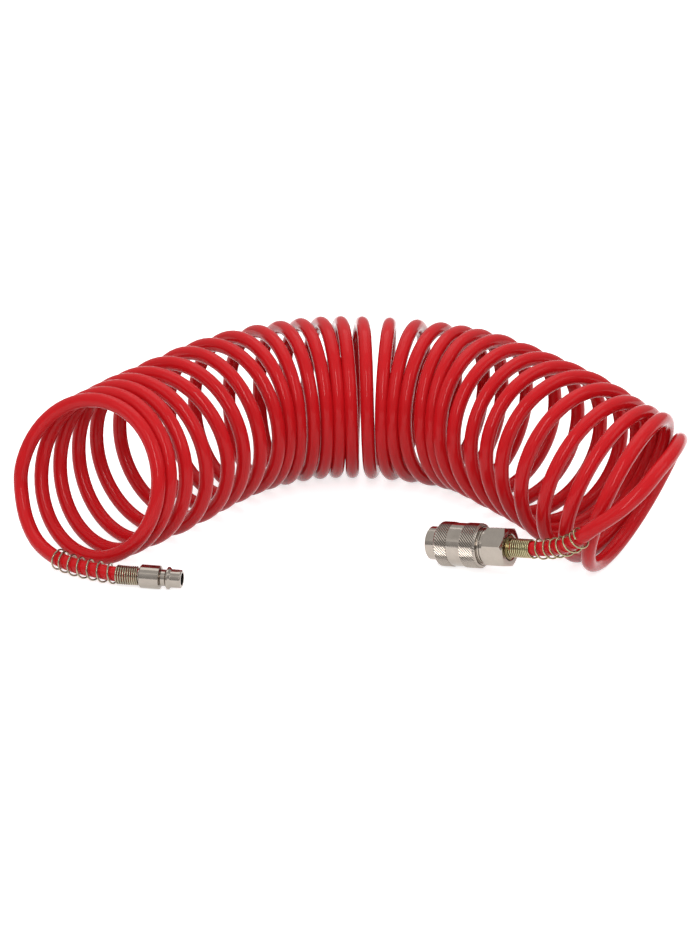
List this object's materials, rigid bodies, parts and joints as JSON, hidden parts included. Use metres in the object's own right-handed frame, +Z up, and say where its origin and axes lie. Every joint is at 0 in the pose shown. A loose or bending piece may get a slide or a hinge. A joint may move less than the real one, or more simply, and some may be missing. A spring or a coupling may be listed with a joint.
{
  "type": "coiled air hose",
  "caption": "Coiled red polyurethane air hose lying in an arch, with a male quick plug on one end, a female quick coupler with a sliding sleeve on the other, and a wire guard spring on each.",
  "frame": {"origin": "on the table, under the middle of the whole hose's box", "axes": "+X runs from the plug's end of the arch to the coupler's end, which is the longest extent; +Y away from the open side of the arch; +Z up"},
  "size_m": [0.368, 0.2543, 0.096],
  "materials": {
    "hose_red": "glossy",
    "plating": "warm nickel plate, bright",
    "zinc": "yellow zinc passivation",
    "spring_steel": "bright drawn wire",
    "seal_black": "matt"
  },
  "bodies": {
    "hose": {"hose_coil": "hose_red", "hose_plug_lead": "hose_red", "hose_coupler_lead": "hose_red", "plug": "plating", "plug_guard": "spring_steel", "coupler_body": "plating", "coupler_adapter": "plating", "hose_tail": "zinc", "tail_washer": "seal_black", "coupler_guard": "zinc", "sleeve_stop_ring": "spring_steel", "plug_seal": "seal_black", "body_seal": "seal_black", "valve_spring": "spring_steel"},
    "sleeve_turning": {"sleeve_spring": "spring_steel"},
    "sleeve": {"sleeve": "plating"},
    "ball_1": {"ball_1": "spring_steel"},
    "ball_2": {"ball_2": "spring_steel"},
    "ball_3": {"ball_3": "spring_steel"},
    "ball_4": {"ball_4": "spring_steel"},
    "ball_5": {"ball_5": "spring_steel"},
    "ball_6": {"ball_6": "spring_steel"},
    "valve": {"valve_poppet": "plating", "valve_seal": "seal_black"}
  },
  "joints": [
    {"name": "sleeve_spin", "type": "hinge", "parent": "hose", "child": "sleeve_turning", "pos_m": [0.06265, -0.0698, 0.01408], "axis": [0.8576, -0.4951, 0.1392], "continuous": true},
    {"name": "sleeve_slide", "type": "slide", "parent": "sleeve_turning", "child": "sleeve", "axis": [0.8576, -0.4951, 0.1392], "range_m": [0, 0.0032], "stiffness_N_per_m": 1500, "springref_m": -0.004, "deforming": ["sleeve_spring"]},
    {"name": "valve_slide", "type": "slide", "parent": "hose", "child": "valve", "axis": [0.8576, -0.4951, 0.1392], "range_m": [0, 0.002], "stiffness_N_per_m": 800, "springref_m": -0.003, "deforming": ["valve_spring"]},
    {"name": "ball_1_slide", "type": "slide", "parent": "hose", "child": "ball_1", "axis": [0.1205, -0.0696, -0.9903], "range_m": [0, 0.001]},
    {"name": "ball_2_slide", "type": "slide", "parent": "hose", "child": "ball_2", "axis": [0.4933, 0.7152, -0.4951], "range_m": [0, 0.001]},
    {"name": "ball_3_slide", "type": "slide", "parent": "hose", "child": "ball_3", "axis": [0.3727, 0.7848, 0.4951], "range_m": [0, 0.001]},
    {"name": "ball_4_slide", "type": "slide", "parent": "hose", "child": "ball_4", "axis": [-0.1205, 0.0696, 0.9903], "range_m": [0, 0.001]},
    {"name": "ball_5_slide", "type": "slide", "parent": "hose", "child": "ball_5", "axis": [-0.4933, -0.7152, 0.4951], "range_m": [0, 0.001]},
    {"name": "ball_6_slide", "type": "slide", "parent": "hose", "child": "ball_6", "axis": [-0.3727, -0.7848, -0.4951], "range_m": [0, 0.001]}
  ],
  "couplings": [
    {"joint": "ball_1_slide", "follows": "sleeve_slide", "ratio": 0.3125},
    {"joint": "ball_2_slide", "follows": "sleeve_slide", "ratio": 0.3125},
    {"joint": "ball_3_slide", "follows": "sleeve_slide", "ratio": 0.3125},
    {"joint": "ball_4_slide", "follows": "sleeve_slide", "ratio": 0.3125},
    {"joint": "ball_5_slide", "follows": "sleeve_slide", "ratio": 0.3125},
    {"joint": "ball_6_slide", "follows": "sleeve_slide", "ratio": 0.3125}
  ]
}
